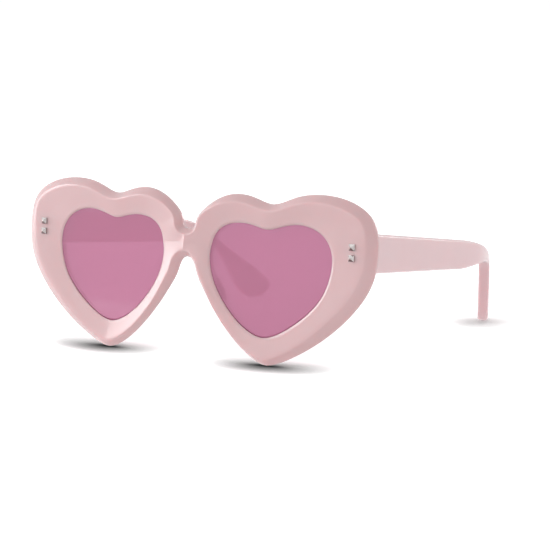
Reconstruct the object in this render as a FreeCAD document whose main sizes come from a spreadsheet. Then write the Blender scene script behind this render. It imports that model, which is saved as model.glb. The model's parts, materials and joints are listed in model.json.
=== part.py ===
import FreeCAD, Part
import itertools
import math
import os
import re
import Sketcher

# Heart shaped sunglasses. The right half is modelled in the frame of the right rim:
# x runs out from the bridge, y back from the foremost face, z up from the heart's point.
# The left half is its mirror image, and the whole then rests on both points and both ear tips.
doc = FreeCAD.newDocument("heart_sunglasses")
Vector = FreeCAD.Vector

# Driving sizes in millimetres and degrees
SIZES = {
    # Front
    "front_reach": 75.0,
    "front_height": 59.83,
    "front_wrap": 3.4,
    "bevel_width": 4.2,
    "bevel_depth": 2.15,
    "back_bevel_width": 2.0,
    "back_bevel_depth": 2.55,
    # Rim's width beside the lens
    "rim_inner_width": 9.9,
    "rim_outer_width": 16.35,
    "rim_bottom_width": 9.87,
    "rim_top_width": 10.16,
    # Lens and its groove
    "lens_thickness": 1.8,
    "lens_recess": 1.4,
    "lip_round": 0.4,
    "groove_depth": 0.8,
    "lens_clearance": 0.05,
    # Studs, placed in from the front's outermost point
    "stud_reach": 8.6,
    "stud_rise": 41.25,
    "stud_spacing": 3.7,
    "stud_width": 2.2,
    "stud_tip_width": 0.4,
    "stud_seat": 0.6,
    "stud_girdle": 0.8,
    "stud_point": 0.9,
    "shank_diameter": 1.2,
    "fit_clearance": 0.03,
    # Hinge, placed in from the front's outermost point
    "hinge_reach": 8.0,
    "leaf_inner_width": 3.0,
    "leaf_outer_width": 1.6,
    "leaf_height": 11.0,
    "leaf_thickness": 1.2,
    "leaf_recess": 0.5,
    "knuckle_diameter": 3.2,
    "knuckle_standoff": 0.9,
    "knuckle_gap": 0.1,
    "middle_knuckle": 4.6,
    "pin_diameter": 1.4,
    "pin_clearance": 0.04,
    "screw_head_diameter": 2.4,
    "screw_head_height": 0.8,
    "screw_slot_width": 0.4,
    "screw_slot_depth": 0.4,
    # Temple
    "temple_thickness": 4.0,
    "temple_inset": 1.9,
    "temple_gap": 0.2,
    "temple_root_height": 13.4,
    "temple_waist_height": 10.5,
    "temple_straight": 68.0,
    "butt_chamfer": 0.5,
    "temple_sink": 0.1,
    "ear_reach": 56.2,
    "ear_drop": 22.45,
    "bend_start": 79.0,
    "bend_radius": 50.0,
    "bend_turn": 23.0,
    "temple_splay": 0.9,
    "temple_leaf_length": 11.0,
    "temple_leaf_height": 6.4,
    "temple_leaf_proud": 0.2,
    "core_width": 1.2,
    "core_height": 2.4,
    "core_length": 52.0,
    "core_wall": 0.6,
    # Nose pad, placed in from the rim's outline
    "pad_inset": 4.3,
    "pad_length": 13.0,
    "pad_width": 3.6,
    "pad_depth": 2.6,
    "pad_chamfer": 1.2,
    # Length by which cuts run past what they cut
    "overrun": 3.0,
}
sheet = doc.addObject("Spreadsheet::Sheet", "Sizes")
for row, (alias, value) in enumerate(SIZES.items(), start=1):
    sheet.set(f"A{row}", alias)
    sheet.set(f"B{row}", str(value))
    sheet.setAlias(f"B{row}", alias)
doc.recompute()

# Depths behind the foremost face, as sums of driving sizes
RIM_DEPTH = "(bevel_depth + back_bevel_depth)"
LENS_MIDDLE = "(lens_recess + lens_thickness / 2)"
LENS_BACK = "(lens_recess + lens_thickness)"
LEAF_SEAT = f"({RIM_DEPTH} - leaf_recess)"
LEAF_BACK = f"({LEAF_SEAT} + leaf_thickness)"
HINGE_DEPTH = f"({LEAF_BACK} + knuckle_standoff + knuckle_diameter / 2)"

# Middle and size of the lens opening between the rim's widths
LENS_WIDTH = "(front_reach - rim_inner_width - rim_outer_width)"
LENS_HEIGHT = "(front_height - rim_bottom_width - rim_top_width)"
LENS_REACH = f"(rim_inner_width + {LENS_WIDTH} / 2)"
LENS_RISE = f"(rim_bottom_width + {LENS_HEIGHT} / 2)"

# Places of the studs, the hinge, the temple and its leaf
STUD_PLACE = "(front_reach - stud_reach)"
HINGE_PLACE = "(front_reach - hinge_reach)"
TEMPLE_INNER = f"({HINGE_PLACE} + temple_inset)"
TEMPLE_OUTER = f"({TEMPLE_INNER} + temple_thickness)"
TEMPLE_BUTT = f"({RIM_DEPTH} + temple_gap)"
LEAF_FACE = f"({TEMPLE_INNER} - temple_leaf_proud)"
LEAF_BED = f"({LEAF_FACE} + leaf_thickness)"
LEAF_END = f"({HINGE_DEPTH} + temple_leaf_length)"
CORE_MIDDLE = f"({TEMPLE_INNER} + core_wall + core_width / 2)"

# Rim outline in four stretches: from the notch above the bridge to the cleft, to the outermost point,
# to the heart's point and to the bridge. Each point is given as shares of the front's reach and height,
# with the bevel's width there as a share of the widest
RIM_SHARES = [
    [
        (-0.029, 0.752, 0.50), (0.012, 0.753, 0.50), (0.029, 0.761, 0.48), (0.043, 0.806, 0.42),
        (0.064, 0.851, 0.38), (0.096, 0.888, 0.42), (0.165, 0.943, 0.55), (0.240, 0.971, 0.64),
        (0.353, 0.957, 0.62), (0.448, 0.928, 0.57),
    ],
    [
        (0.559, 0.971, 0.60), (0.719, 1.000, 0.66), (0.863, 0.966, 0.78), (0.967, 0.875, 0.86),
        (1.000, 0.710, 0.95),
    ],
    [
        (0.974, 0.508, 1.00), (0.889, 0.344, 1.00), (0.769, 0.201, 0.90), (0.623, 0.079, 0.72),
        (0.521, 0.018, 0.57), (0.453, 0.000, 0.52),
    ],
    [
        (0.388, 0.027, 0.45), (0.285, 0.123, 0.36), (0.189, 0.251, 0.36), (0.132, 0.344, 0.40),
        (0.095, 0.412, 0.44), (0.063, 0.479, 0.48), (0.049, 0.525, 0.50), (0.033, 0.564, 0.50),
        (0.012, 0.583, 0.50), (-0.029, 0.584, 0.50),
    ],
]
# Lens opening in the same stretches and then up its nasal side,
# as shares of its width and height from its middle
LENS_SHARES = [
    [
        (-0.489, 0.264), (-0.458, 0.367), (-0.391, 0.442), (-0.302, 0.477), (-0.211, 0.480), (-0.118, 0.459),
        (-0.037, 0.440),
    ],
    [(0.052, 0.462), (0.207, 0.500), (0.342, 0.472), (0.443, 0.387), (0.493, 0.257)],
    [(0.491, 0.107), (0.435, -0.092), (0.313, -0.272), (0.170, -0.405), (0.048, -0.482), (-0.037, -0.500)],
    [(-0.124, -0.472), (-0.255, -0.367), (-0.377, -0.207), (-0.458, -0.044), (-0.491, 0.081)],
    [(-0.499, 0.169)],
]
# Place of the nose pad along the last stretch of the outline
PAD_SHARE = 0.66
# Ear end of the temple from the waist's upper edge round the tip to its lower edge,
# as shares of the ear's reach and drop from the waist's lower edge
EAR_SHARES = [
    (0.246, 0.404), (0.435, 0.269), (0.567, 0.054), (0.760, -0.269), (0.923, -0.551),
    (0.996, -0.774), (0.950, -0.938), (0.873, -0.989), (0.798, -0.933), (0.698, -0.603),
    (0.582, -0.182), (0.479, 0.042), (0.292, 0.078),
]


def formula(text):
    """Expression in which each word is an alias of the sheet."""
    return re.sub(r"[a-z_]+", r"Sizes.\g<0>", text)


def size(text):
    """Present value of an expression of driving sizes."""
    return float(sheet.evalExpression(formula(text)))


def new_body(name):
    """Empty body whose label names the piece."""
    body = doc.addObject("PartDesign::Body", name)
    body.Label = name
    return body


def new_sketch(body, name, role, lift=None):
    """Sketch on one of the body's origin planes, lifted along the plane's normal."""
    sketch = body.newObject("Sketcher::SketchObject", name)
    support = next(item for item in body.Origin.OriginFeatures if item.Role == role)
    sketch.AttachmentSupport = [(support, "")]
    sketch.MapMode = "FlatFace"
    if lift:
        sketch.setExpression("AttachmentOffset.Base.z", formula(lift))
    return sketch


def front_sketch(body, name, depth):
    """Sketch in the rim's plane, at a depth behind the foremost face."""
    return new_sketch(body, name, "XZ_Plane", f"-1 * {depth}")


def bind(sketch, kind, places, text):
    """Constraint whose value follows an expression."""
    index = sketch.addConstraint(Sketcher.Constraint(kind, *places, size(text)))
    sketch.setExpression(f"Constraints[{index}]", formula(text))


def add_circle(sketch, across, up, diameter):
    """Circle by its middle and diameter."""
    middle = Vector(size(across), size(up), 0)
    circle = sketch.addGeometry(Part.Circle(middle, Vector(0, 0, 1), size(diameter) / 2))
    bind(sketch, "DistanceX", (-1, 1, circle, 3), across)
    bind(sketch, "DistanceY", (-1, 1, circle, 3), up)
    bind(sketch, "Diameter", (circle,), diameter)


def add_rectangle(sketch, left, right, low, high):
    """Upright rectangle by its four sides."""
    corners = [(left, low), (right, low), (right, high), (left, high)]
    points = [Vector(size(across), size(up), 0) for across, up in corners]
    edges = zip(points, points[1:] + points[:1])
    lines = [sketch.addGeometry(Part.LineSegment(start, end)) for start, end in edges]
    for line, follower in zip(lines, lines[1:] + lines[:1]):
        sketch.addConstraint(Sketcher.Constraint("Coincident", line, 2, follower, 1))
    bottom, far_side, top, near_side = lines
    for level, pair in (("Horizontal", (bottom, top)), ("Vertical", (far_side, near_side))):
        for line in pair:
            sketch.addConstraint(Sketcher.Constraint(level, line))
    bind(sketch, "DistanceX", (-1, 1, bottom, 1), left)
    bind(sketch, "DistanceX", (-1, 1, top, 1), right)
    bind(sketch, "DistanceY", (-1, 1, bottom, 1), low)
    bind(sketch, "DistanceY", (-1, 1, top, 1), high)


def add_square(sketch, across, up, width):
    """Upright square by its middle and width."""
    half = f"({width}) / 2"
    add_rectangle(sketch, f"{across} - {half}", f"{across} + {half}", f"{up} - {half}", f"{up} + {half}")


def add_feature(body, kind, sketch, length=None, back=False, both_ways=False):
    """Pad or pocket of a sketch, by a length or through everything."""
    before = body.Shape.copy()
    feature = body.newObject(f"PartDesign::{kind}", f"{sketch.Name}_{kind.lower()}")
    feature.Profile = sketch
    feature.Reversed = back
    if both_ways:
        feature.SideType = "Symmetric"
    if length:
        feature.setExpression("Length", formula(length))
    else:
        feature.Type = "ThroughAll"
    doc.recompute()
    tool = feature.AddSubShape.copy()
    tool.Placement = feature.Placement.multiply(tool.Placement)
    if kind == "Pocket" and not before.common(tool).Volume > 0:
        raise RuntimeError(f"{feature.Name} cuts nothing")
    return feature


def add_edge_feature(body, kind, chosen):
    """Fillet or chamfer of those edges so far that a test chooses, whose size is still to be bound."""
    base = body.Tip
    names = [f"Edge{number}" for number, edge in enumerate(base.Shape.Edges, start=1) if chosen(edge)]
    feature = body.newObject(f"PartDesign::{kind}", f"{base.Name}_{kind.lower()}")
    feature.Base = (base, names)
    return feature


def add_loft(body, kind, sketches):
    """Straight-sided loft through sketches in turn."""
    loft = body.newObject(f"PartDesign::{kind}", f"{sketches[0].Name}_loft")
    loft.Profile = sketches[0]
    loft.Sections = sketches[1:]
    loft.Ruled = True
    doc.recompute()
    return loft


def spline(points, closed=False, pace=None):
    """Smooth curve through points, which it passes at the pace of another row of points if given."""
    pace = list(pace or points)
    if closed:
        pace.append(pace[0])
    marks = [0.0]
    for start, end in zip(pace, pace[1:]):
        marks.append(marks[-1] + (end - start).Length)
    curve = Part.BSplineCurve()
    curve.interpolate(Points=points, PeriodicFlag=closed, Parameters=marks)
    return curve


def moved_in(curve, points, widths):
    """Points of a clockwise curve moved inwards, square to it, by a width each."""
    moved = []
    for point, width in zip(points, widths):
        along = curve.tangent(curve.parameter(point))[0]
        moved.append(point + Vector(along.y, -along.x, 0) * width)
    return moved


def joined(table):
    """All points of a table of stretches in one row."""
    return [point for stretch in table for point in stretch]


def stretches(curve, points, table):
    """Curve cut where the stretches of its table end."""
    last_places = [count - 1 for count in itertools.accumulate(map(len, table))]
    marks = [curve.parameter(points[place]) for place in [0] + last_places]
    pieces = []
    for start, end in zip(marks, marks[1:]):
        piece = curve.copy()
        piece.segment(start, end)
        pieces.append(piece)
    return pieces


def rim_outline():
    """Points of the rim's outline."""
    reach = size("front_reach")
    height = size("front_height")
    return [Vector(out * reach, up * height, 0) for out, up, bevel_share in joined(RIM_SHARES)]


def rim_geometry(width_of):
    """Rim outline moved in by a width that depends on the bevel's share, closed past the bridge's middle."""
    outline = rim_outline()
    widths = [width_of(bevel_share) for out, up, bevel_share in joined(RIM_SHARES)]
    points = moved_in(spline(outline), outline, widths)
    curve = spline(points, pace=outline)
    return stretches(curve, points, RIM_SHARES) + [Part.LineSegment(points[-1], points[0])]


def lens_points(growth):
    """Points of the lens opening moved outwards by a growth."""
    width = size(LENS_WIDTH)
    height = size(LENS_HEIGHT)
    middle = Vector(size(LENS_REACH), size(LENS_RISE), 0)
    points = [middle + Vector(out * width, up * height, 0) for out, up in joined(LENS_SHARES)]
    return moved_in(spline(points, closed=True), points, [-growth] * len(points))


def lens_sketch(body, name, depth, growth):
    """Closed outline of the lens opening at a depth, moved outwards by a growth."""
    sketch = front_sketch(body, name, depth)
    sketch.addGeometry(spline(lens_points(size(growth)), closed=True))
    return sketch


def make_rim():
    """Right rim with half of the bridge: face, bevel and bevelled back, with the grooved lens opening."""
    body = new_body("rim_right")
    bevel_width = size("bevel_width")
    back_width = size("back_bevel_width")
    sections = []
    for name, depth, width_of in (
        ("rim_crease", "(0 * overrun)", lambda bevel_share: bevel_share * bevel_width),
        ("rim_edge", "bevel_depth", lambda bevel_share: 0),
        ("rim_back", RIM_DEPTH, lambda bevel_share: back_width),
    ):
        section = front_sketch(body, name, depth)
        section.addGeometry(rim_geometry(width_of))
        sections.append(section)
    add_loft(body, "AdditiveLoft", sections)
    opening = [
        lens_sketch(body, "opening_front", "-1 * overrun", "lip_round + overrun"),
        lens_sketch(body, "lip_edge", "lip_round", "0 * overrun"),
        lens_sketch(body, "groove_front", "lens_recess", "0 * overrun"),
        lens_sketch(body, "groove_floor", LENS_MIDDLE, "groove_depth"),
        lens_sketch(body, "groove_back", LENS_BACK, "0 * overrun"),
        lens_sketch(body, "opening_back", f"({RIM_DEPTH} + overrun)", "0 * overrun"),
    ]
    add_loft(body, "SubtractiveLoft", opening)
    seats = front_sketch(body, "stud_seats", "stud_seat")
    shanks = front_sketch(body, "shank_holes", "stud_seat")
    for rise in stud_rises():
        add_square(seats, STUD_PLACE, rise, "stud_width + 2 * fit_clearance")
        add_circle(shanks, STUD_PLACE, rise, "shank_diameter + 2 * fit_clearance")
    add_feature(body, "Pocket", seats, length="stud_seat + overrun", back=True)
    add_feature(body, "Pocket", shanks, both_ways=True)
    recess = front_sketch(body, "leaf_recess_outline", LEAF_SEAT)
    add_rectangle(recess, *leaf_sides("fit_clearance"))
    add_feature(body, "Pocket", recess, length="leaf_recess + overrun")
    return body


def stud_rises():
    """Heights of the upper and the lower stud."""
    return ["(stud_rise + stud_spacing / 2)", "(stud_rise - stud_spacing / 2)"]


def leaf_sides(growth):
    """Sides of the front leaf's plate, moved outwards by a growth."""
    return (
        f"{STUD_PLACE} - leaf_inner_width - {growth}",
        f"{HINGE_PLACE} + leaf_outer_width + {growth}",
        f"stud_rise - leaf_height / 2 - {growth}",
        f"stud_rise + leaf_height / 2 + {growth}",
    )


def make_lens():
    """Flat lens whose edge is bevelled to a ridge that sits in the rim's groove."""
    body = new_body("lens_right")
    slack = "(0 - lens_clearance)"
    sections = [
        lens_sketch(body, "lens_front", "lens_recess", slack),
        lens_sketch(body, "lens_ridge", LENS_MIDDLE, f"(groove_depth + {slack})"),
        lens_sketch(body, "lens_rear", LENS_BACK, slack),
    ]
    add_loft(body, "AdditiveLoft", sections)
    return body


def make_stud(name, rise):
    """Square stud chamfered to a pyramid, and a shank that rivets the hinge leaf to the rim."""
    body = new_body(name)
    block = front_sketch(body, f"{name}_block", "stud_seat")
    add_square(block, STUD_PLACE, rise, "stud_width")
    add_feature(body, "Pad", block, length="stud_girdle + stud_point")
    top = size("stud_seat - stud_girdle")
    pyramid = add_edge_feature(body, "Chamfer", lambda edge: edge.BoundBox.YMax < top)
    pyramid.ChamferType = "Two distances"
    pyramid.setExpression("Size", formula("stud_point"))
    pyramid.setExpression("Size2", formula("(stud_width - stud_tip_width) / 2"))
    shank = front_sketch(body, f"{name}_shank", "stud_seat")
    add_circle(shank, STUD_PLACE, rise, "shank_diameter")
    add_feature(body, "Pad", shank, length=f"{LEAF_BACK} - stud_seat", back=True)
    return body


def make_front_leaf():
    """Hinge plate let into the rim's back, with an upper and a lower knuckle."""
    body = new_body("hinge_front_leaf_right")
    plate = front_sketch(body, "front_plate", LEAF_SEAT)
    add_rectangle(plate, *leaf_sides("0 * fit_clearance"))
    add_feature(body, "Pad", plate, length="leaf_thickness", back=True)
    knuckle_height = "(leaf_height - middle_knuckle) / 2 - knuckle_gap"
    for name, foot in (
        ("lower", "(stud_rise - leaf_height / 2)"),
        ("upper", "(stud_rise + middle_knuckle / 2 + knuckle_gap)"),
    ):
        web = new_sketch(body, f"{name}_web", "XY_Plane", foot)
        half = "knuckle_diameter / 2"
        add_rectangle(web, f"{HINGE_PLACE} - {half}", f"{HINGE_PLACE} + {half}", LEAF_SEAT, HINGE_DEPTH)
        add_feature(body, "Pad", web, length=knuckle_height)
        barrel = new_sketch(body, f"{name}_barrel", "XY_Plane", foot)
        add_circle(barrel, HINGE_PLACE, HINGE_DEPTH, "knuckle_diameter")
        add_feature(body, "Pad", barrel, length=knuckle_height)
    rivets = front_sketch(body, "rivet_holes", LEAF_SEAT)
    for rise in stud_rises():
        add_circle(rivets, STUD_PLACE, rise, "shank_diameter + 2 * fit_clearance")
    add_feature(body, "Pocket", rivets, length="leaf_thickness")
    add_bore(body, "front_leaf_bore")
    return body


def add_bore(body, name):
    """Bore for the hinge screw."""
    bore = new_sketch(body, name, "XY_Plane", "stud_rise")
    add_circle(bore, HINGE_PLACE, HINGE_DEPTH, "pin_diameter + 2 * pin_clearance")
    add_feature(body, "Pocket", bore, both_ways=True)


def make_temple_leaf():
    """Hinge plate sunk into the temple's inner face, with the middle knuckle."""
    body = new_body("hinge_temple_leaf_right")
    plate = new_sketch(body, "temple_plate", "XY_Plane", "stud_rise")
    add_rectangle(plate, LEAF_FACE, LEAF_BED, HINGE_DEPTH, LEAF_END)
    add_feature(body, "Pad", plate, length="temple_leaf_height", both_ways=True)
    web = new_sketch(body, "middle_web", "XY_Plane", "stud_rise")
    add_rectangle(web, HINGE_PLACE, LEAF_BED, HINGE_DEPTH, f"{HINGE_DEPTH} + knuckle_diameter / 2")
    add_feature(body, "Pad", web, length="middle_knuckle", both_ways=True)
    barrel = new_sketch(body, "middle_barrel", "XY_Plane", "stud_rise")
    add_circle(barrel, HINGE_PLACE, HINGE_DEPTH, "knuckle_diameter")
    add_feature(body, "Pad", barrel, length="middle_knuckle", both_ways=True)
    add_bore(body, "temple_leaf_bore")
    return body


def make_screw():
    """Hinge screw with a slotted head above the upper knuckle."""
    body = new_body("hinge_screw_right")
    pin = new_sketch(body, "screw_pin", "XY_Plane", "stud_rise - leaf_height / 2")
    add_circle(pin, HINGE_PLACE, HINGE_DEPTH, "pin_diameter")
    add_feature(body, "Pad", pin, length="leaf_height")
    top = "stud_rise + leaf_height / 2"
    head = new_sketch(body, "screw_head", "XY_Plane", top)
    add_circle(head, HINGE_PLACE, HINGE_DEPTH, "screw_head_diameter")
    add_feature(body, "Pad", head, length="screw_head_height")
    slot = new_sketch(body, "screw_slot", "XY_Plane", f"{top} + screw_head_height")
    ends = (f"{HINGE_PLACE} - screw_head_diameter", f"{HINGE_PLACE} + screw_head_diameter")
    sides = (f"{HINGE_DEPTH} - screw_slot_width / 2", f"{HINGE_DEPTH} + screw_slot_width / 2")
    add_rectangle(slot, *ends, *sides)
    add_feature(body, "Pocket", slot, length="screw_slot_depth")
    return body


def temple_plan():
    """Arm seen from above: straight from the butt, then bent inwards for the ear."""
    butt = size(TEMPLE_BUTT)
    bend = butt + size("bend_start")
    turn = math.radians(size("bend_turn"))
    inner = size(TEMPLE_INNER)
    outer = size(TEMPLE_OUTER)
    centre = Vector((inner + outer) / 2 - size("bend_radius"), bend, 0)
    along = Vector(-math.sin(turn), math.cos(turn), 0)
    last_depth = butt + size("temple_straight + ear_reach + overrun")
    sides = []
    for across in (inner, outer):
        radius = across - centre.x
        half_way = centre + Vector(math.cos(turn / 2), math.sin(turn / 2), 0) * radius
        arc_end = centre + Vector(math.cos(turn), math.sin(turn), 0) * radius
        end = arc_end + along * ((last_depth - arc_end.y) / along.y)
        sides.append((Vector(across, butt, 0), Vector(across, bend, 0), half_way, arc_end, end))
    lines = []
    for start, bend_point, half_way, arc_end, end in sides:
        lines += [Part.LineSegment(start, bend_point), Part.LineSegment(arc_end, end)]
        lines.append(Part.ArcOfCircle(bend_point, half_way, arc_end))
    for place in (0, -1):
        lines.append(Part.LineSegment(sides[0][place], sides[1][place]))
    return lines


def temple_side():
    """Arm seen from the side: straight taper to the waist, then the narrow neck and the paddle of the ear."""
    butt = size(TEMPLE_BUTT)
    low = size("stud_rise - temple_root_height / 2")
    waist = Vector(butt + size("temple_straight"), low - size("temple_sink"), 0)
    waist_top = waist + Vector(0, size("temple_waist_height"), 0)
    root = Vector(butt, low, 0)
    root_top = root + Vector(0, size("temple_root_height"), 0)
    reach = size("ear_reach")
    drop = size("ear_drop")
    ear = [waist_top] + [waist + Vector(out * reach, up * drop, 0) for out, up in EAR_SHARES] + [waist]
    curve = Part.BSplineCurve()
    curve.interpolate(Points=ear, InitialTangent=(waist_top - root_top), FinalTangent=(root - waist))
    edges = [(root_top, waist_top), (waist, root), (root, root_top)]
    return [curve] + [Part.LineSegment(start, end) for start, end in edges]


def core_outline(growth):
    """Core wire seen from the side, along the arm's middle line, moved outwards by a growth."""
    start = Vector(size(TEMPLE_BUTT), size("stud_rise"), 0)
    waist_middle = size("stud_rise - temple_root_height / 2 - temple_sink + temple_waist_height / 2")
    along = (Vector(start.x + size("temple_straight"), waist_middle, 0) - start).normalize()
    square = Vector(-along.y, along.x, 0)
    first = size(LEAF_END) + 2 * size("fit_clearance") - start.x
    ends = (first - growth, first + size("core_length") + growth)
    half = size("core_height") / 2 + growth
    corners = [(ends[0], -half), (ends[1], -half), (ends[1], half), (ends[0], half)]
    points = [start + along * far + square * up for far, up in corners]
    return [Part.LineSegment(a, b) for a, b in zip(points, points[1:] + points[:1])]


def make_temple():
    """Arm cut to its side shape from a bent strip, with a bed for the hinge leaf and a bore for the core."""
    body = new_body("temple_right")
    plan = new_sketch(body, "temple_plan", "XY_Plane", "0 * overrun")
    plan.addGeometry(temple_plan())
    add_feature(body, "Pad", plan, length="front_height")
    side = new_sketch(body, "temple_side", "YZ_Plane")
    side.addGeometry(temple_side())
    far = f"{TEMPLE_BUTT} + temple_straight + ear_reach + 2 * overrun"
    add_rectangle(side, "0 - overrun", far, "0 - overrun", "front_height + overrun")
    add_feature(body, "Pocket", side, both_ways=True)
    straight_start = size(f"{TEMPLE_BUTT} + temple_thickness")
    butt = add_edge_feature(body, "Chamfer", lambda edge: edge.BoundBox.YMax < straight_start)
    butt.setExpression("Size", formula("butt_chamfer"))
    bed = new_sketch(body, "leaf_bed", "XY_Plane", "stud_rise")
    add_rectangle(
        bed,
        f"{TEMPLE_INNER} - overrun",
        f"{LEAF_BED} + fit_clearance",
        f"{HINGE_DEPTH} - fit_clearance",
        f"{LEAF_END} + fit_clearance",
    )
    add_feature(body, "Pocket", bed, length="temple_leaf_height + 2 * fit_clearance", both_ways=True)
    bore = new_sketch(body, "core_bore", "YZ_Plane", CORE_MIDDLE)
    bore.addGeometry(core_outline(size("fit_clearance")))
    add_feature(body, "Pocket", bore, length="core_width + 2 * fit_clearance", both_ways=True)
    return body


def make_core():
    """Flat wire that stiffens the arm, behind the hinge leaf."""
    body = new_body("temple_core_right")
    outline = new_sketch(body, "core_side", "YZ_Plane", CORE_MIDDLE)
    outline.addGeometry(core_outline(0))
    add_feature(body, "Pad", outline, length="core_width", both_ways=True)
    return body


def make_nose_pad():
    """Nose pad bonded behind the nasal rim, round ended, chamfered to a narrow crest."""
    body = new_body("nose_pad_right")
    outline = rim_outline()
    curve = spline(outline)
    nasal_side = stretches(curve, outline, RIM_SHARES)[-1]
    along_range = nasal_side.LastParameter - nasal_side.FirstParameter
    mark = nasal_side.FirstParameter + PAD_SHARE * along_range
    along = curve.tangent(mark)[0]
    inwards = Vector(along.y, -along.x, 0)
    middle = curve.value(mark) + inwards * size("pad_inset")
    radius = size("pad_width / 2")
    stretch = along * size("(pad_length - pad_width) / 2")
    foot = front_sketch(body, "pad_foot", RIM_DEPTH)
    for way in (1, -1):
        end = middle + stretch * way
        sides = (end + inwards * (radius * way), end - inwards * (radius * way))
        foot.addGeometry(Part.ArcOfCircle(sides[0], end + along * (radius * way), sides[1]))
        foot.addGeometry(Part.LineSegment(sides[1], sides[1] - stretch * (2 * way)))
    add_feature(body, "Pad", foot, length="pad_depth", back=True)
    middle_depth = size(f"{RIM_DEPTH} + pad_depth / 2")
    crest = add_edge_feature(body, "Chamfer", lambda edge: edge.BoundBox.YMin > middle_depth)
    crest.setExpression("Size", formula("pad_chamfer"))
    return body


rim = make_rim()
temple = make_temple()
right_arm = [temple, make_temple_leaf(), make_core()]
right_pieces = right_arm + [make_lens(), make_nose_pad(), make_front_leaf(), make_screw()]
for level, rise in zip(("upper", "lower"), stud_rises()):
    right_pieces.append(make_stud(f"stud_{level}_right", rise))

# Open arm, splayed a little about its hinge
hinge_foot = Vector(size(HINGE_PLACE), size(HINGE_DEPTH), 0)
splay_turn = FreeCAD.Rotation(Vector(0, 0, 1), -size("temple_splay"))
for item in right_arm:
    item.Placement = FreeCAD.Placement(Vector(), splay_turn, hinge_foot)


def turned(shape, lean):
    """Copy of a shape turned out by the front's wrap and leaned back."""
    copy = shape.copy()
    copy.rotate(Vector(), Vector(0, 0, 1), size("front_wrap"))
    copy.rotate(Vector(), Vector(1, 0, 0), -lean)
    return copy


# Lean at which the heart's point and the ear tip stand on one floor
lean = 0
for step in range(6):
    point_height = turned(rim.Shape, lean).optimalBoundingBox().ZMin
    tip_box = turned(temple.Shape, lean).optimalBoundingBox()
    lean += math.degrees((tip_box.ZMin - point_height) / tip_box.YMax)
whole = turned(Part.makeCompound([item.Shape for item in [rim] + right_pieces]), lean).optimalBoundingBox()
wrap_turn = FreeCAD.Rotation(Vector(0, 0, 1), size("front_wrap"))
lean_turn = FreeCAD.Rotation(Vector(1, 0, 0), -lean)
shift = Vector(0, -(whole.YMin + whole.YMax) / 2, -whole.ZMin)
for item in [rim] + right_pieces:
    item.Placement = FreeCAD.Placement(shift, lean_turn * wrap_turn).multiply(item.Placement)
hinge = rim.Placement.multVec(Vector(size(HINGE_PLACE), size(HINGE_DEPTH), size("stud_rise")))
print("lean", lean, "hinge", hinge, "axis", lean_turn.multVec(Vector(0, 0, 1)))

# Both rims trimmed at the middle of the bridge and joined there
trim = doc.addObject("Part::Box", "bridge_trim")
for side, length in (("Length", "front_reach"), ("Width", "front_height"), ("Height", "3 * front_height")):
    trim.setExpression(side, formula(length))
corner = Vector(-size("front_reach"), -size("front_height") / 2, -size("front_height"))
trim.Placement = FreeCAD.Placement(shift + corner, FreeCAD.Rotation())
half = doc.addObject("Part::Cut", "right_half")
half.Base = rim
half.Tool = trim


def mirror(source, name):
    """Mirror image across the middle plane."""
    image = doc.addObject("Part::Mirroring", name)
    image.Label = name
    image.Source = source
    image.Normal = Vector(1, 0, 0)
    return image


front = doc.addObject("Part::Fuse", "front_frame")
front.Label = "front_frame"
front.Base = half
front.Tool = mirror(half, "left_half")
front.Refine = True
left_pieces = [mirror(item, item.Name.replace("right", "left")) for item in right_pieces]
doc.recompute()

nodes = [front] + right_pieces + left_pieces
for item in doc.Objects:
    if {"Invalid", "Error"} & set(item.State):
        raise RuntimeError(f"{item.Name} failed: {item.State}")
os.makedirs("parts", exist_ok=True)
for item in nodes:
    if item.Shape.isNull() or not item.Shape.isValid():
        raise RuntimeError(f"{item.Label} has no valid shape")
    item.Shape.exportStep(f"parts/{item.Label}.step")
    print(item.Label, len(item.Shape.Solids), round(item.Shape.Volume, 1))
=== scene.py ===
import json
import math
import bpy
import numpy as np
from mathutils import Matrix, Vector


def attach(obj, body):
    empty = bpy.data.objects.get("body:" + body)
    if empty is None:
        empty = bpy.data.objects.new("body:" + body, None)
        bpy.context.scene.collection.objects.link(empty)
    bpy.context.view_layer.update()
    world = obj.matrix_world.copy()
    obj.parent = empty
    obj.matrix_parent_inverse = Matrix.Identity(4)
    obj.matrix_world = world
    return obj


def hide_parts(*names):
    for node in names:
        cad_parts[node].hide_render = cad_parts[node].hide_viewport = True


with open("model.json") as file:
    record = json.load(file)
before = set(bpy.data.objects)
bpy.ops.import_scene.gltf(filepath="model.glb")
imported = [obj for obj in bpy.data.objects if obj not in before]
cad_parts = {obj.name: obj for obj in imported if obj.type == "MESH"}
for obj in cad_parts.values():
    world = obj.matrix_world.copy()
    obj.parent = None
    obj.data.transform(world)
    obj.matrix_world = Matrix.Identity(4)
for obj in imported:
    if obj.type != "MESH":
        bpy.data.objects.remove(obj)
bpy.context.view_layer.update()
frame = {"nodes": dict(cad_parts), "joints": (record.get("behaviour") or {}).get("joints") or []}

# Front frame: two heart rims and their bridge in one piece of milky pink plastic, moulded with a face that
# dips to a lip round each lens and falls in a wide bevel outside. It stands on both hearts' points.
# Its sizes, and those of the arms and pads, are in millimetres until placed() makes them metres.
reach, height, rim_depth = 75.0, 59.83, 4.7
wrap = math.radians(3.4)
bevel_width, bevel_drop, edge_round = 4.2, 2.5, 0.5
crease_softness, low_softness = 0.13, 0.5
lip_depth, lip_width, lip_drop, lip_softness, lip_round = 1.0, 0.7, 0.25, 0.1, 0.1
dish_rise, dish_power = 1.4, 1.25
back_width, back_drop, back_softness, back_round, back_lip_round = 2.0, 1.3, 0.2, 0.35, 0.3
groove_depths, groove_growths = np.array([1.37, 1.4, 2.3, 3.2]), np.array([-0.12, 0.05, 0.8, 0.0])
lens_middle, lens_size = np.array([34.27, 29.27]), np.array([48.75, 39.8])
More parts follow.
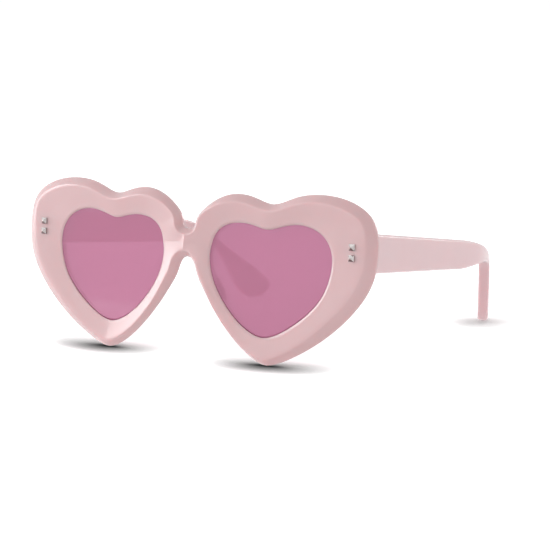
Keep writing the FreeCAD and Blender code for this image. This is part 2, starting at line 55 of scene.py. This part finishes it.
bridge_blend = 8.0
face_rows, back_rows, bridge_count, fine_count = 64, 16, 48, 1801
# Each row says how far out, how far up and how wide the bevel is, as shares of reach, height and bevel_width.
rim_shares = np.array([
    (-0.029, 0.752, 0.50), (0.012, 0.753, 0.50), (0.029, 0.761, 0.48), (0.043, 0.806, 0.42),
    (0.064, 0.851, 0.38), (0.096, 0.888, 0.42), (0.165, 0.943, 0.55), (0.240, 0.971, 0.64),
    (0.353, 0.957, 0.62), (0.448, 0.928, 0.57), (0.559, 0.971, 0.60), (0.719, 1.000, 0.66),
    (0.863, 0.966, 0.75), (0.967, 0.875, 0.79), (1.000, 0.710, 0.83), (0.974, 0.508, 0.86),
    (0.889, 0.344, 0.84), (0.769, 0.201, 0.78), (0.623, 0.079, 0.62), (0.521, 0.018, 0.52),
    (0.453, 0.000, 0.45), (0.388, 0.027, 0.36), (0.285, 0.123, 0.28), (0.189, 0.251, 0.28),
    (0.132, 0.344, 0.34), (0.095, 0.412, 0.44), (0.063, 0.479, 0.48), (0.049, 0.525, 0.50),
    (0.033, 0.564, 0.50), (0.012, 0.583, 0.50), (-0.029, 0.584, 0.50),
])
# The lens opening's points, as shares of the lens's width and height from its middle.
lens_shares = np.array([
    (-0.489, 0.264), (-0.458, 0.367), (-0.391, 0.442), (-0.302, 0.477), (-0.211, 0.480), (-0.118, 0.459),
    (-0.037, 0.440), (0.052, 0.462), (0.207, 0.500), (0.342, 0.472), (0.443, 0.387), (0.493, 0.257),
    (0.491, 0.107), (0.435, -0.092), (0.313, -0.272), (0.170, -0.405), (0.048, -0.482), (-0.037, -0.500),
    (-0.124, -0.472), (-0.255, -0.367), (-0.377, -0.207), (-0.458, -0.044), (-0.491, 0.081), (-0.499, 0.169),
])
# The right hinge's place is given here in the rim's frame, and by its joint in the shared one.
hinge_joint = next(joint for joint in frame["joints"] if joint["name"] == "fold_right")
hinge_place = np.array([67.0, 7.9, 41.25])
lean = math.asin(hinge_joint["axis"][1])
mirror = np.array([-1, 1, 1])
per_metre = 1000


def turned(points):
    """Points (out, back, up) of the rim's frame, turned about the upright by the wrap, then leaned back."""
    out, back, up = np.moveaxis(np.asarray(points, float), -1, 0)
    x = out * math.cos(wrap) - back * math.sin(wrap)
    y = out * math.sin(wrap) + back * math.cos(wrap)
    y, z = y * math.cos(lean) + up * math.sin(lean), up * math.cos(lean) - y * math.sin(lean)
    return np.stack([x, y, z], -1)


stand = np.array(hinge_joint["pos_m"]) * per_metre - turned(hinge_place)


def placed(points):
    """Metres in the shared frame: the turned point plus the stand's shift, over a thousand."""
    return (turned(points) + stand) / per_metre


def upright(flat, depth):
    """Points (out, back, up) from flat places (out, up) and their depth behind the solid's face."""
    return np.stack([flat[..., 0], np.broadcast_to(depth, flat.shape[:-1]), flat[..., 1]], -1)


def curve_through(points, stations):
    """Cubic spline: a Hermite cubic from each point to the next, with slopes that keep the bending even.
    Whole stations are the points themselves."""
    span = np.linalg.norm(np.diff(points[:, :2], axis=0), axis=1)
    count = len(points)
    rows = np.arange(1, count - 1)
    system = np.zeros((count, count))
    system[rows, rows - 1] = 1 / span[:-1]
    system[rows, rows] = 2 / span[:-1] + 2 / span[1:]
    system[rows, rows + 1] = 1 / span[1:]
    system[0, :2], system[-1, -2:] = (2, 1), (1, 2)
    rise = np.diff(points, axis=0) / span[:, None]
    wanted = np.zeros_like(points)
    wanted[1:-1] = 3 * (rise[:-1] / span[:-1, None] + rise[1:] / span[1:, None])
    wanted[0], wanted[-1] = 3 * rise[0], 3 * rise[-1]
    slopes = np.linalg.solve(system, wanted)
    part = np.clip(np.floor(stations).astype(int), 0, count - 2)
    share = (stations - part)[:, None]
    ease = share**2 * (3 - 2 * share)
    swing = (1 - share) * slopes[part] - share * slopes[part + 1]
    return (
        points[part] * (1 - ease) + points[part + 1] * ease
        + span[part][:, None] * share * (1 - share) * swing
    )


def strips(rows):
    """Four-cornered faces between each row of point numbers and the next one."""
    return np.stack([rows[:-1, :-1], rows[:-1, 1:], rows[1:, 1:], rows[1:, :-1]], -1).reshape(-1, 4)


def closed(rows):
    """Rows of point numbers that each end on their first number again."""
    return np.concatenate([rows, rows[:, :1]], 1)


def new_piece(name, points, blocks, sharp=60):
    """Mesh object from points in metres and blocks of faces, smooth but for edges sharper than an angle."""
    mesh = bpy.data.meshes.new(name)
    faces = [face for block in blocks for face in block.tolist()]
    mesh.from_pydata(points.reshape(-1, 3).tolist(), [], faces)
    mesh.shade_smooth()
    mesh.set_sharp_from_angle(angle=math.radians(sharp))
    piece = bpy.data.objects.new(name, mesh)
    bpy.context.scene.collection.objects.link(piece)
    return piece


outline_points = rim_shares * np.array([reach, height, bevel_width])
fine_stations = np.linspace(0, len(rim_shares) - 1, fine_count)
fine = curve_through(outline_points, fine_stations)
half = len(fine) // 2
notch = np.interp(0, fine[:half, 0], fine_stations[:half])
arch = np.interp(0, -fine[half:, 0], fine_stations[half:])
lens_points = lens_middle + lens_shares * lens_size
lens_overlap = 6
lens_loop = np.concatenate([lens_points[-lens_overlap:], lens_points, lens_points[:lens_overlap]])
outer, inner = [], []
# Stretches of the rim: outline stations from and to, the lens's stations facing them, and how many points.
for start, end, lens_start, lens_end, count in (
    (notch, 9, 0, 6, 100), (9, 14, 6, 11, 60), (14, 20, 11, 17, 80), (20, arch, 17, 22, 120),
):
    outer_stations = np.linspace(start, end, count, endpoint=False)
    inner_stations = np.linspace(lens_start, lens_end, count, endpoint=False)
    outer.append(curve_through(outline_points, outer_stations)[:, :2])
    inner.append(curve_through(lens_loop, lens_overlap + inner_stations))
bottom, top = curve_through(outline_points, np.array([arch, notch]))[:, 1]
sweep = (1 - np.cos(np.pi * np.arange(bridge_count) / bridge_count)) / 2
outer.append(np.stack([0 * sweep, bottom + (top - bottom) * sweep], -1))
bridge_stations = np.linspace(lens_end, len(lens_shares), bridge_count, endpoint=False)
inner.append(curve_through(lens_loop, lens_overlap + bridge_stations))
outer, inner = np.concatenate(outer), np.concatenate(inner)
around = len(inner)
outline_count = around - bridge_count


def rim_sheet(rows):
    """Flat points on straight lines from the lens opening to the outline, closer together at both ends,
    with each one's distance from the outline, the bevel's width there and its distance from the opening."""
    share = (1 - np.cos(np.linspace(0, np.pi, rows))) / 2
    flat = inner + (outer - inner) * share[:, None, None]
    away, width, opening = np.empty((3, rows, around))
    for row in range(rows):
        gaps = np.linalg.norm(flat[row][:, None] - fine[:, :2], axis=-1)
        away[row], width[row] = gaps.min(1), fine[gaps.argmin(1), 2]
        opening[row] = np.linalg.norm(flat[row][:, None] - inner, axis=-1).min(1)
    away[-1, :outline_count] = 0
    return flat, away, width, opening


def quarter_round(distance, radius):
    """Drop of a rounded edge: a quarter circle that falls by the radius as the distance goes to nothing."""
    left = radius - np.minimum(distance, radius)
    return radius - np.sqrt(np.maximum(radius**2 - left**2, 0))


def soft_ramp(rise, softness):
    """Ramp that is nothing below nought and the rise above it, with a soft corner."""
    return (rise + np.sqrt(rise**2 + softness**2)) / 2


def face_sheet():
    """Front of the rim: a dish from the lip up to the crease and to the bridge, then the bevel's fall."""
    flat, away, width, opening = rim_sheet(face_rows)
    tiny = 1e-6
    to_crease, to_middle = np.maximum(away - width, 0), np.abs(flat[..., 0])
    to_ridge = to_crease * to_middle / (np.hypot(to_crease, to_middle) + tiny)
    dish_share = opening / (opening + to_ridge + tiny)
    softness = crease_softness + low_softness * (1 - flat[..., 1] / height) * flat[..., 0] / reach
    dish = lip_depth - dish_rise * dish_share**dish_power
    lip = lip_drop * soft_ramp(1 - opening / lip_width, lip_softness) + quarter_round(opening, lip_round)
    bevel = bevel_drop * soft_ramp(1 - away / width, softness) + quarter_round(away, edge_round)
    return upright(flat, dish + lip + bevel)


def back_sheet():
    """Back of the rim: flat at the rim's depth, less a small bevel outside and the rounding of both edges."""
    flat, away, _, opening = rim_sheet(back_rows)
    bevel = back_drop * soft_ramp(1 - away / back_width, back_softness) + quarter_round(away, back_round)
    return upright(flat, rim_depth - bevel - quarter_round(opening, back_lip_round))


def groove_rows():
    """Wall of the lens opening: the opening's outline grown at each of the groove's depths."""
    along = np.roll(inner, -1, 0) - np.roll(inner, 1, 0)
    outwards = np.stack([-along[:, 1], along[:, 0]], -1) / np.linalg.norm(along, axis=1)[:, None]
    return upright(inner + outwards * groove_growths[:, None, None], groove_depths[:, None])


rim = np.concatenate([face_sheet(), back_sheet(), groove_rows()])
# Near the middle the points are drawn over to it, so that the two turned halves meet without a fold.
rim[..., 0] += rim[..., 1] * math.tan(wrap) * np.maximum(1 - rim[..., 0] / bridge_blend, 0)
rim = placed(rim)
numbers = np.arange(len(rim) * around).reshape(-1, around)
fronts, backs, walls = np.split(closed(numbers), [face_rows, face_rows + back_rows])
seam = np.ix_([face_rows - 1, face_rows + back_rows - 1], np.r_[outline_count:around, 0])
rim[..., 0][seam] = 0
right_faces = np.concatenate([
    strips(fronts), strips(backs[::-1]), strips(np.stack([backs[0], *walls[::-1], fronts[0]])),
    strips(np.stack([fronts[-1], backs[-1]])[:, :outline_count + 1]),
])
left_numbers = numbers.size + numbers
left_numbers[seam] = numbers[seam]
left_faces = left_numbers.reshape(-1)[right_faces][:, ::-1]
used, front_faces = np.unique(np.concatenate([right_faces, left_faces]), return_inverse=True)
front_points = np.concatenate([rim, rim * mirror]).reshape(-1, 3)[used]
front_piece = new_piece("front_frame_visual", front_points, [front_faces.reshape(-1, 4)])


def feed(node, inputs):
    """Set a node's inputs to values, or link them to other nodes' outputs."""
    for name, value in inputs.items():
        if isinstance(value, bpy.types.NodeSocket):
            node.id_data.links.new(value, node.inputs[name])
        else:
            node.inputs[name].default_value = value


def add_node(tree, kind, inputs, **settings):
    """Node of a kind in a tree, with its settings made and then its inputs fed."""
    node = tree.nodes.new(kind)
    for name, value in settings.items():
        setattr(node, name, value)
    feed(node, inputs)
    return node


def new_group(name, inputs, outputs):
    """Empty node group with sockets of the given names and kinds."""
    group = bpy.data.node_groups.new(name, "ShaderNodeTree")
    for way, sockets in (("INPUT", inputs), ("OUTPUT", outputs)):
        for socket, kind in sockets.items():
            group.interface.new_socket(socket, in_out=way, socket_type=f"NodeSocket{kind}")
    return group


def new_finish(name):
    """Node material, with its tree and main shader."""
    material = bpy.data.materials.new(name)
    material.use_nodes = True
    return material, material.node_tree, material.node_tree.nodes["Principled BSDF"]


def clouded_group():
    """Clouded plastic: slow noise blends two tones, fine noise varies the gloss and gives a faint ripple."""
    group = new_group(
        "clouded_plastic", {"Pale": "Color", "Deep": "Color"},
        {"Color": "Color", "Roughness": "Float", "Height": "Float"},
    )
    start = add_node(group, "NodeGroupInput", {})
    place = add_node(group, "ShaderNodeTexCoord", {}).outputs["Object"]
    clouds = add_node(group, "ShaderNodeTexNoise", {"Vector": place, "Scale": 55, "Detail": 3}).outputs["Fac"]
    grain = add_node(group, "ShaderNodeTexNoise", {"Vector": place, "Scale": 900, "Detail": 2}).outputs["Fac"]
    tone = add_node(group, "ShaderNodeMix", {
        "Factor": clouds, "A": start.outputs["Pale"], "B": start.outputs["Deep"],
    }, data_type="RGBA")
    gloss = add_node(group, "ShaderNodeMapRange", {"Value": grain, "To Min": 0.36, "To Max": 0.46})
    add_node(group, "NodeGroupOutput", {
        "Color": tone.outputs["Result"], "Roughness": gloss.outputs["Result"], "Height": grain,
    })
    return group


clouded_plastic = clouded_group()


def plastic(name, pale, deep):
    """Milky plastic: the clouded group's colour, gloss and ripple on a shader with a little light let in."""
    material, tree, shader = new_finish(name)
    clouds = add_node(tree, "ShaderNodeGroup", {
        "Pale": (*pale, 1), "Deep": (*deep, 1),
    }, node_tree=clouded_plastic)
    ripple = add_node(tree, "ShaderNodeBump", {
        "Strength": 0.04, "Distance": 0.0002, "Height": clouds.outputs["Height"],
    })
    feed(shader, {
        "Base Color": clouds.outputs["Color"], "Roughness": clouds.outputs["Roughness"],
        "Normal": ripple.outputs["Normal"], "Subsurface Weight": 0.6, "Subsurface Radius": (1, 0.5, 0.5),
        "Subsurface Scale": 0.0035, "Coat Weight": 0.8, "Coat Roughness": 0.1,
    })
    return material


front_plastic = plastic("front_plastic", pale=(0.705, 0.48, 0.49), deep=(0.65, 0.425, 0.435))
front_piece.data.materials.append(front_plastic)
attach(front_piece, "front")
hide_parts("front_frame")


# Lenses: flat tinted plates of milky pink plastic, ground to a ridge that sits in the rim's groove.
# The drawn pieces are right as they are, and only take their see-through finish.
def mottled_group():
    """Mottled finish: noise blends two tones and varies the gloss between smooth and rough."""
    group = new_group("mottled_finish", {
        "Vector": "Vector", "Scale": "Float", "Light": "Color", "Dark": "Color",
        "Smooth": "Float", "Rough": "Float",
    }, {"Color": "Color", "Roughness": "Float"})
    start = add_node(group, "NodeGroupInput", {}).outputs
    noise = add_node(group, "ShaderNodeTexNoise", {
        "Vector": start["Vector"], "Scale": start["Scale"],
    }).outputs["Fac"]
    tone = add_node(group, "ShaderNodeMix", {
        "Factor": noise, "A": start["Light"], "B": start["Dark"],
    }, data_type="RGBA")
    gloss = add_node(group, "ShaderNodeMapRange", {
        "Value": noise, "To Min": start["Smooth"], "To Max": start["Rough"],
    })
    add_node(group, "NodeGroupOutput", {
        "Color": tone.outputs["Result"], "Roughness": gloss.outputs["Result"],
    })
    return group


def dress(material, *starts):
    """Give a finish to every drawn piece whose name starts so."""
    for name, node in frame["nodes"].items():
        if name.startswith(starts):
            node.data.materials.clear()
            node.data.materials.append(material)


mottled_finish = mottled_group()
lens_finish, lens_tree, lens_shader = new_finish("tinted_lens")
lens_place = add_node(lens_tree, "ShaderNodeTexCoord", {})
lens_tint = add_node(lens_tree, "ShaderNodeGroup", {
    "Vector": lens_place.outputs["Object"], "Scale": 30, "Smooth": 0.02, "Rough": 0.05,
    "Light": (0.605, 0.25, 0.393, 1), "Dark": (0.58, 0.24, 0.376, 1),
}, node_tree=mottled_finish)
feed(lens_shader, {
    "Base Color": lens_tint.outputs["Color"], "Roughness": lens_tint.outputs["Roughness"],
    "Transmission Weight": 0.43, "IOR": 1.45,
})
lens_ray = add_node(lens_tree, "ShaderNodeLightPath", {})
lens_clear = add_node(lens_tree, "ShaderNodeBsdfTransparent", {"Color": (0.85, 0.62, 0.72, 1)})
lens_shadow = add_node(lens_tree, "ShaderNodeMixShader", {
    0: lens_ray.outputs["Is Shadow Ray"], 1: lens_shader.outputs["BSDF"], 2: lens_clear.outputs["BSDF"],
})
feed(lens_tree.nodes["Material Output"], {"Surface": lens_shadow.outputs["Shader"]})
dress(lens_finish, "lens_")

# Studs: polished steel squares with pyramid heads, two beside each hinge, riveted through the rim.
# The drawn pieces keep their sharp facets and take a bright finish with faint polishing marks.
# Facets that face down are painted darker: a painted shade standing in for the dark reflection they would
# show.
stud_finish, stud_tree, stud_shader = new_finish("polished_stud")
stud_place = add_node(stud_tree, "ShaderNodeTexCoord", {})
stud_marks = add_node(stud_tree, "ShaderNodeGroup", {
    "Vector": stud_place.outputs["Object"], "Scale": 1500, "Smooth": 0.04, "Rough": 0.12,
    "Light": (0.90, 0.87, 0.86, 1), "Dark": (0.52, 0.48, 0.47, 1),
}, node_tree=mottled_finish)
# Painted shade: the colour turns to a near-black brown on facets whose normal points down.
stud_facet = add_node(stud_tree, "ShaderNodeNewGeometry", {})
stud_way = add_node(stud_tree, "ShaderNodeSeparateXYZ", {"Vector": stud_facet.outputs["Normal"]})
stud_shade_mask = add_node(stud_tree, "ShaderNodeMapRange", {
    "Value": stud_way.outputs["Z"], "From Min": -0.3, "From Max": 0.25,
})
stud_shaded_tone = add_node(stud_tree, "ShaderNodeMix", {
    "Factor": stud_shade_mask.outputs["Result"], "A": (0.16, 0.11, 0.11, 1), "B": stud_marks.outputs["Color"],
}, data_type="RGBA")
feed(stud_shader, {
    "Base Color": stud_shaded_tone.outputs["Result"], "Roughness": stud_marks.outputs["Roughness"], "Metallic": 1,
})
dress(stud_finish, "stud_")

# Hinges: stamped steel leaves, a slotted screw and the flat core wire inside each arm.
# The drawn pieces take a brushed finish whose fine lines run up and down.
hinge_finish, hinge_tree, hinge_shader = new_finish("brushed_hinge")
hinge_coords = add_node(hinge_tree, "ShaderNodeTexCoord", {})
hinge_stretch = add_node(hinge_tree, "ShaderNodeMapping", {
    "Vector": hinge_coords.outputs["Object"], "Scale": (3000, 3000, 150),
})
hinge_lines = add_node(hinge_tree, "ShaderNodeGroup", {
    "Vector": hinge_stretch.outputs["Vector"], "Scale": 5, "Smooth": 0.28, "Rough": 0.45,
    "Light": (0.56, 0.55, 0.54, 1), "Dark": (0.42, 0.41, 0.40, 1),
}, node_tree=mottled_finish)
feed(hinge_shader, {
    "Base Color": hinge_lines.outputs["Color"], "Roughness": hinge_lines.outputs["Roughness"], "Metallic": 1,
})
dress(hinge_finish, "hinge_", "temple_core_")

# Temples: broad arms of the front's plastic in a paler tone, with softened edges, straight to the waist, then
# a narrow neck bent inwards and a paddle for the ear. Each turns on a hinge whose leaf is sunk in it.
butt, straight, low = 4.9, 68.0, 34.55
root_height, waist_height, waist_drop = 13.4, 10.5, 0.1
ear_size = np.array([56.2, 22.45])
arm_half, arm_round, round_share, butt_round, tip_round = 2.0, 1.1, 0.8, 0.5, 2.5
arm_out, bend_reach, bend_radius, bend_turn = 70.9, 79.0, 50.0, math.radians(23.0)
bend_start = butt + bend_reach
splay = math.radians(-0.9)
straight_rows, ear_rows, corner_points = 40, 130, 8
run_shares = np.array([[0.25], [0.12]])
# The ear's outline from the waist round the paddle, as shares of ear_size from the waist's lower point.
ear_shares = np.array([
    (0.246, 0.404), (0.435, 0.269), (0.567, 0.054), (0.760, -0.269), (0.923, -0.551),
    (0.996, -0.774), (0.950, -0.938), (0.873, -0.989), (0.798, -0.933), (0.698, -0.603),
    (0.582, -0.182), (0.479, 0.042), (0.292, 0.078),
])
root, root_top = np.array([butt, low]), np.array([butt, low + root_height])
waist = np.array([butt + straight, low - waist_drop])
waist_top = waist + np.array([0, waist_height])
run_in = waist_top + (root_top - waist_top) * run_shares
run_out = waist + (root - waist) * run_shares[::-1]
ear_points = np.concatenate([run_in, [waist_top], waist + ear_shares * ear_size, [waist], run_out])
# Stations of the ear's upper edge run from the waist to the tip, and each has a facing one on the lower edge.
waist_station, tip_station = 2, 10
facing_stations = [16, 15, 14, 13, 12, 11.6, 11.1, 10.6, 10]
upper_stations = np.linspace(waist_station, tip_station, ear_rows)[1:-1]
lower_stations = np.interp(upper_stations, np.arange(waist_station, tip_station + 1), facing_stations)
butt_turn = np.radians([90, 60, 30])
butt_share = butt_round * (1 - np.sin(butt_turn)) / straight
arm_share = np.concatenate([butt_share, np.linspace(butt_round / straight, 1, straight_rows)])[:, None]
upper_ear, lower_ear = curve_through(ear_points, upper_stations), curve_through(ear_points, lower_stations)
upper = np.concatenate([root_top + (waist_top - root_top) * arm_share, upper_ear])
lower = np.concatenate([root + (waist - root) * arm_share, lower_ear])
inset = np.zeros(len(upper))
inset[:len(butt_turn)] = butt_round * (1 - np.cos(butt_turn))
tip_away = np.linalg.norm((upper + lower) / 2 - ear_points[tip_station], axis=1)
tip_share = np.minimum(tip_away / tip_round, 1)


def rounded_box(half_up, half_out):
    """Rounded box at every row of the arm: the corners' middles at the half sizes less the radius, plus the
    radius's turn."""
    radius = np.minimum(arm_round, round_share * np.minimum(half_up, half_out))[:, None]
    turn = (np.pi / 2 * np.arange(4)[:, None] + np.linspace(0, np.pi / 2, corner_points)).reshape(-1)
    corner_up, corner_out = np.repeat([1, -1, -1, 1], corner_points), np.repeat([1, 1, -1, -1], corner_points)
    up = (half_up[:, None] - radius) * corner_up + radius * np.cos(turn)
    out = (half_out[:, None] - radius) * corner_out + radius * np.sin(turn)
    return up, out


def arm_bent(across, back):
    """Plan of the arm: straight, then an arc of a circle inwards, then straight on at the turned angle."""
    angle = np.arcsin(np.clip((back - bend_start) / bend_radius, 0, math.sin(bend_turn)))
    beyond = np.maximum(back - bend_start - bend_radius * math.sin(bend_turn), 0)
    middle = arm_out - bend_radius * (1 - np.cos(angle)) - beyond * math.tan(bend_turn)
    return middle + across * np.cos(angle), back + across * np.sin(angle)


def both_sides(points, blocks):
    """The right piece, then its mirror image on the left with its faces turned round."""
    yield "right", points, blocks
    yield "left", points * mirror, [block[:, ::-1] for block in blocks]


arm_height = np.linalg.norm(upper - lower, axis=1)
arm_upwards = (upper - lower) / arm_height[:, None]
arm_up, arm_across = rounded_box(arm_height / 2 - inset, arm_half * np.sqrt(1 - (1 - tip_share) ** 2) - inset)
arm_side = ((upper + lower) / 2)[:, None] + arm_upwards[:, None] * arm_up[..., None]
arm_plan = np.stack(arm_bent(arm_across, arm_side[..., 0]), -1) - hinge_place[:2]
arm_splayed = np.array([[math.cos(splay), math.sin(splay)], [-math.sin(splay), math.cos(splay)]])
arm_plan = hinge_place[:2] + arm_plan @ arm_splayed
arm = placed(np.concatenate([arm_plan, arm_side[..., 1:]], -1))
arm_numbers = np.arange(arm.shape[0] * arm.shape[1]).reshape(arm.shape[:2])
arm_blocks = [strips(closed(arm_numbers)), arm_numbers[:1, ::-1], arm_numbers[-1:]]
temple_plastic = plastic("temple_plastic", pale=(0.80, 0.565, 0.585), deep=(0.75, 0.515, 0.535))
for side, points, blocks in both_sides(arm, arm_blocks):
    temple = new_piece(f"temple_{side}_visual", points, blocks, sharp=70)
    temple.data.materials.append(temple_plastic)
    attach(temple, f"arm_{side}")
    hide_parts(f"temple_{side}")

# Nose pads: small ovals of the front's plastic, domed and bonded behind the nasal rims.
# Each is a dome over its oval foot, worked out round and up from the rim's back.
pad_middle, pad_turn = np.array([12.13, 24.92]), math.radians(32.5)
pad_half_length, pad_half_width, pad_height, pad_sink, pad_power = 6.5, 1.8, 2.6, 0.1, 0.6
pad_around, pad_rows = 64, 13
pad_long = np.array([-math.sin(pad_turn), math.cos(pad_turn)])
pad_short = np.array([math.cos(pad_turn), math.sin(pad_turn)])
pad_round = np.linspace(0, 2 * np.pi, pad_around, endpoint=False)[:, None]
pad_rise = np.linspace(0, np.pi / 2, pad_rows, endpoint=False)
pad_oval = pad_half_length * np.cos(pad_round) * pad_long + pad_half_width * np.sin(pad_round) * pad_short
pad_scale = np.concatenate([[1], np.cos(pad_rise) ** pad_power])
pad_depth = rim_depth + np.concatenate([[-pad_sink], pad_height * np.sin(pad_rise)])
pad_dome = placed(upright(pad_middle + pad_scale[:, None, None] * pad_oval, pad_depth[:, None]))
pad_top = placed(upright(pad_middle, rim_depth + pad_height))
pad_numbers = np.arange(len(pad_dome) * pad_around).reshape(-1, pad_around)
pad_rim = closed(pad_numbers)[-1]
pad_cap = np.stack([pad_rim[:-1], pad_rim[1:], np.full(pad_around, pad_numbers.size)], -1)
pad_blocks = [strips(closed(pad_numbers)), pad_cap, pad_numbers[:1, ::-1]]
pad_points = np.concatenate([pad_dome.reshape(-1, 3), pad_top[None]])
for side, points, blocks in both_sides(pad_points, pad_blocks):
    nose_pad = new_piece(f"nose_pad_{side}_visual", points, blocks)
    nose_pad.data.materials.append(front_plastic)
    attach(nose_pad, "front")
    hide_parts(f"nose_pad_{side}")

# Stage: a white table under a sky that dims upwards, with soft lamps left, in front, right and behind.
# Table and sky look white to the camera, in reflections and through the lenses.
# The table's colour is painted darker close under the hearts' points: a painted contact shadow, seen only by
# the camera.
table_size = 60
bpy.ops.mesh.primitive_plane_add(size=table_size)
table = bpy.context.object
table.name = "table"


def reckon(tree, operation, first, second):
    """Output of a math node that works on two numbers or outputs."""
    return add_node(tree, "ShaderNodeMath", {0: first, 1: second}, operation=operation).outputs["Value"]


def white_when_seen(tree, level):
    """The level, raised to one for rays from the camera, from gloss and through the lenses."""
    ray = add_node(tree, "ShaderNodeLightPath", {})
    for kind in ("Is Camera Ray", "Is Glossy Ray", "Is Transmission Ray"):
        level = reckon(tree, "MAXIMUM", level, ray.outputs[kind])
    return level


table_finish, table_tree, table_shader = new_finish("table_white")
# Painted shadow: an ambient occlusion node, tilted towards the front, darkens the table's colour near the
# glasses for camera rays, less so behind the front.
table_tilt = add_node(table_tree, "ShaderNodeCombineXYZ", {"Y": 0.45, "Z": 0.89})
table_open = add_node(table_tree, "ShaderNodeAmbientOcclusion", {
    "Distance": 0.012, "Normal": table_tilt.outputs["Vector"],
})
table_painted_shadow = reckon(table_tree, "SUBTRACT", 1, reckon(table_tree, "POWER", table_open.outputs["AO"], 3.4))
table_place = add_node(table_tree, "ShaderNodeTexCoord", {})
table_back = add_node(table_tree, "ShaderNodeSeparateXYZ", {"Vector": table_place.outputs["Object"]})
table_shadow_fade = add_node(table_tree, "ShaderNodeMapRange", {
    "Value": table_back.outputs["Y"], "From Min": 0.02, "From Max": 0.08, "To Min": 1, "To Max": 0.2,
})
table_ray = add_node(table_tree, "ShaderNodeLightPath", {})
table_seen = reckon(table_tree, "MULTIPLY", table_shadow_fade.outputs["Result"], table_ray.outputs["Is Camera Ray"])
table_shadow_tone = add_node(table_tree, "ShaderNodeMix", {
    "Factor": reckon(table_tree, "MULTIPLY", table_painted_shadow, table_seen),
    "A": (0.93, 0.93, 0.93, 1), "B": (0.02, 0.025, 0.025, 1),
}, data_type="RGBA").outputs["Result"]
feed(table_shader, {
    "Base Color": table_shadow_tone, "Roughness": 1, "Specular IOR Level": 0, "Emission Color": table_shadow_tone,
    "Emission Strength": reckon(table_tree, "MULTIPLY", white_when_seen(table_tree, 0), 0.6),
})
table.data.materials.append(table_finish)

world = bpy.data.worlds.new("sky")
world.use_nodes = True
bpy.context.scene.world = world
sky_tree = world.node_tree
sky_place = add_node(sky_tree, "ShaderNodeTexCoord", {})
sky_up = add_node(sky_tree, "ShaderNodeSeparateXYZ", {"Vector": sky_place.outputs["Generated"]})
sky_fade = add_node(sky_tree, "ShaderNodeMapRange", {
    "Value": sky_up.outputs["Z"], "To Min": 0.8, "To Max": 0.35,
})
feed(sky_tree.nodes["Background"], {
    "Color": (1, 1, 1, 1), "Strength": white_when_seen(sky_tree, sky_fade.outputs["Result"]),
})
# Each lamp has a name, a place, an aim, a size and a power, and says whether gloss shows it.
for name, place, target, size, power, in_gloss in (
    ("lamp_left", (-1.25, -0.62, 0.45), (0.0, -0.05, 0.03), 0.95, 10.5, True),
    ("lamp_front", (-0.25, -1.5, 0.8), (0.0, -0.05, 0.03), 1.2, 3.5, True),
    ("lamp_fill", (1.3, -0.8, 0.2), (0.0, -0.05, 0.03), 1.2, 4.5, False),
    ("lamp_right", (0.574, 1.217, 0.473), (0.06, 0.0, 0.03), 0.35, 3.0, True),
):
    lamp = bpy.data.lights.new(name, "AREA")
    lamp.size = size
    lamp.energy = power
    lamp_object = bpy.data.objects.new(name, lamp)
    lamp_object.location = place
    lamp_object.rotation_euler = (Vector(target) - Vector(place)).to_track_quat("-Z", "Y").to_euler()
    lamp_object.visible_glossy = in_gloss
    bpy.context.scene.collection.objects.link(lamp_object)

# Camera at the photo's angle: about a tenth of a turn towards the right and a little above the table.
# It stands about three quarters of a metre away and has a long lens.
azimuth, elevation, distance = math.radians(33.50), math.radians(8.536), 0.72784
target = Vector((0.039184, -0.06525, 0.0321))
backwards = Vector((
    math.sin(azimuth) * math.cos(elevation), -math.cos(azimuth) * math.cos(elevation), math.sin(elevation)
))
camera = bpy.data.cameras.new("camera")
camera.lens = 140.25
camera.sensor_width = 36
camera.clip_end = 200
camera_object = bpy.data.objects.new("camera", camera)
camera_object.location = target + backwards * distance
camera_object.rotation_euler = (-backwards).to_track_quat("-Z", "Y").to_euler()
bpy.context.scene.collection.objects.link(camera_object)
bpy.context.scene.camera = camera_object
bpy.context.scene.view_settings.view_transform = "Standard"
